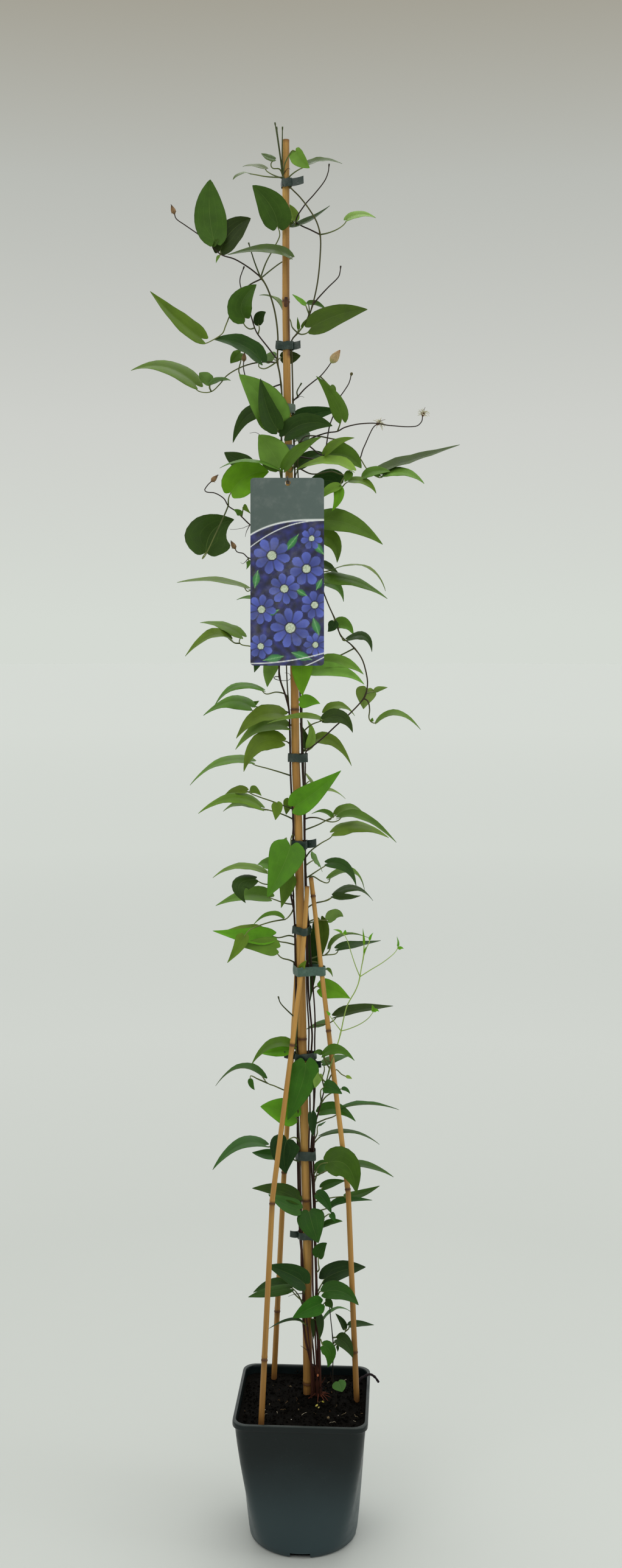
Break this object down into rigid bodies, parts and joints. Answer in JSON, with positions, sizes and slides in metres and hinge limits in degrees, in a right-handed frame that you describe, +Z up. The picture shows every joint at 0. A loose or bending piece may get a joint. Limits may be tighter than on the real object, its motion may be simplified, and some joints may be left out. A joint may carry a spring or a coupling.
{
  "type": "potted climbing plant on a cane support",
  "caption": "Slender climbing vine with pointed leaves tied to a tall bamboo cane, held by a tripod of thinner canes in a square-rimmed plastic pot of soil.",
  "frame": {"origin": "centre of the pot's underside, on the resting plane", "axes": "+Z up along the main cane, +X to the viewer's right, the label on the -Y side"},
  "size_m": [0.4555, 0.1868, 1.929],
  "materials": {
    "pot": "dark grey-green injection-moulded plastic, slight sheen",
    "soil": "damp dark peat compost, matt",
    "bamboo": "dried tan bamboo, slight sheen",
    "tie": "thin dark green plastic tying tape",
    "clear_tie": "thin pale translucent plastic tying tape",
    "label": "printed card, semi-gloss",
    "wire": "thin dark plastic-coated wire",
    "bark": "dark dry bark, matt",
    "foliage": "green leaves with a soft sheen, brownish-green woody stems"
  },
  "bodies": {
    "root": {"pot": "pot", "soil": "soil", "cane_main": "bamboo", "cane_leg_left": "bamboo", "cane_leg_right": "bamboo", "cane_leg_back": "bamboo", "tie_01": "tie", "tie_02": "tie", "tie_03": "clear_tie", "tie_04": "tie", "tie_05": "tie", "tie_06": "tie", "tie_07": "tie", "tie_08": "tie", "tie_09": "tie", "tie_10": "tie", "tie_11": "tie", "tie_12": "tie", "label": "label", "label_wire": "wire", "root_twig": "bark", "vine_left": "foliage", "vine_right": "foliage", "vine_loop": "foliage", "vine_low_left": "foliage", "vine_low_right": "foliage", "vine_mid_left": "foliage", "vine_mid_right": "foliage", "seedling": "foliage", "seedling_low": "foliage"}
  },
  "joints": []
}
